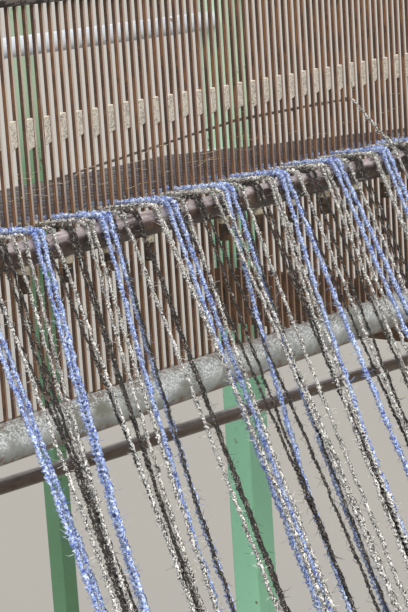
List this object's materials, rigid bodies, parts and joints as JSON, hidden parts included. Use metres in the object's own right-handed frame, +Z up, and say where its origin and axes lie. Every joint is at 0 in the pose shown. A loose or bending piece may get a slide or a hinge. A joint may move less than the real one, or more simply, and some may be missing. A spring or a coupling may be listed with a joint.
{
  "type": "warping mill",
  "caption": "Horizontal warping mill with crank-turned stave drum, hand brake, sliding section guide and a leasing reed on a green stand, threaded with striped yarn",
  "frame": {"origin": "on the floor, at the centre of the four floor bolts", "axes": "X along the drum shaft with the crank at +X, +Y from the drum to the yarn supply, +Z up"},
  "size_m": [1.5078, 2.127, 1.422],
  "materials": {
    "blue_yarn": "hairy two-ply yarn, cornflower blue",
    "light_marl_yarn": "hairy two-ply yarn, pale grey with dark flecks",
    "dark_marl_yarn": "hairy two-ply yarn, dark brown grey",
    "wound_warp": "wound layers of the striped warp",
    "frame_timber": "old oiled timber, worn at the edges",
    "green_casting": "green machine paint over rough casting, chipped",
    "dark_fasteners": "blackened bolts",
    "bright_steel": "worn bright steel",
    "spider_iron": "dark painted cast iron",
    "stave_wood": "smooth pale hardwood, polished by yarn",
    "dark_steel": "dark forged steel",
    "brake_wood": "hardwood block",
    "grip_wood": "turned and varnished hardwood",
    "rusty_wire": "flat steel wire, rust brown on its sides and worn pale in front",
    "bright_wire": "flat steel wire",
    "block_solder": "grainy grey cast filling between two wires",
    "galvanised_tube": "galvanised tube with rust at the slot",
    "rusty_bar": "dark brown rusted bar, rubbed smooth on top",
    "peg_brass": "dull pins with pale heads",
    "pale_rail": "bluish white painted rail",
    "mint_paint": "light green machine paint",
    "dark_green_paint": "darker green machine paint",
    "rusty_plate": "dark rusted steel plate",
    "reed_frame_wood": "hardwood frame"
  },
  "bodies": {
    "frame": {"base_beam_left": "frame_timber", "base_beam_right": "frame_timber", "cross_tie_front": "frame_timber", "cross_tie_middle": "frame_timber", "stand_sill_front": "frame_timber", "stand_sill_rear": "frame_timber", "side_frame_left": "green_casting", "side_frame_right": "green_casting", "shaft_bearing_left": "green_casting", "shaft_bearing_right": "green_casting", "bearing_bolts": "dark_fasteners", "brake_pivot_pin": "bright_steel", "front_post_left": "mint_paint", "front_post_right": "mint_paint", "rear_post_left": "dark_green_paint", "rear_post_right": "dark_green_paint", "stand_rails_low": "dark_green_paint", "stand_rails_high": "dark_green_paint", "stand_stretchers": "dark_green_paint", "reed_cheek_left": "rusty_plate", "reed_cheek_right": "rusty_plate", "cheek_bolts": "dark_fasteners", "reed_wires": "rusty_wire", "leasing_blocks": "block_solder", "bottom_baulk": "galvanised_tube", "top_baulk": "galvanised_tube", "reed_end_bars": "galvanised_tube", "guide_bar": "rusty_bar", "bar_pegs": "peg_brass", "lower_rod": "rusty_bar", "upper_back_rail": "pale_rail", "lower_back_rail": "pale_rail", "hitch_rail": "frame_timber", "clamp_strip": "rusty_plate", "clamp_screws": "dark_fasteners", "rail_stand_left": "green_casting", "rail_stand_right": "green_casting", "slide_rail_front": "bright_steel", "slide_rail_rear": "bright_steel", "blue_ends": "blue_yarn", "light_marl_ends": "light_marl_yarn", "dark_marl_ends": "dark_marl_yarn"},
    "drum": {"drum_shaft": "bright_steel", "drum_spider_left": "spider_iron", "drum_spider_middle": "spider_iron", "drum_spider_right": "spider_iron", "drum_staves": "stave_wood", "warp_band": "wound_warp", "brake_wheel": "spider_iron", "crank_arm": "dark_steel"},
    "crank_handle": {"crank_grip": "grip_wood"},
    "guide": {"guide_saddle": "green_casting", "section_reed_frame": "reed_frame_wood", "section_reed_wires": "bright_wire", "roller_spindle": "bright_steel"},
    "roller": {"guide_roller": "stave_wood"},
    "clamp": {"clamp_knob": "dark_steel"},
    "brake": {"brake_lever": "dark_steel", "brake_shoe": "brake_wood", "brake_grip": "grip_wood"}
  },
  "joints": [
    {"name": "drum_spin", "type": "hinge", "parent": "frame", "child": "drum", "pos_m": [0, -0.59, 0.56], "axis": [1, 0, 0], "continuous": true},
    {"name": "crank_grip_spin", "type": "hinge", "parent": "drum", "child": "crank_handle", "pos_m": [0.7764, -0.59, 0.28], "axis": [1, 0, 0], "continuous": true},
    {"name": "guide_slide", "type": "slide", "parent": "frame", "child": "guide", "axis": [1, 0, 0], "range_m": [0, 0.6897], "deforming": ["blue_ends", "light_marl_ends", "dark_marl_ends"]},
    {"name": "roller_spin", "type": "hinge", "parent": "guide", "child": "roller", "pos_m": [-0.34487, 0.18159, 1.16985], "axis": [1, 0, 0], "continuous": true},
    {"name": "clamp_turn", "type": "hinge", "parent": "guide", "child": "clamp", "pos_m": [-0.34487, 0.2947, 1.01004], "axis": [0, 1, 0], "range_deg": [0, 180]},
    {"name": "brake_swing", "type": "hinge", "parent": "frame", "child": "brake", "pos_m": [0.542, -0.425, 0.3], "axis": [1, 0, 0], "range_deg": [0, 2.6]}
  ]
}
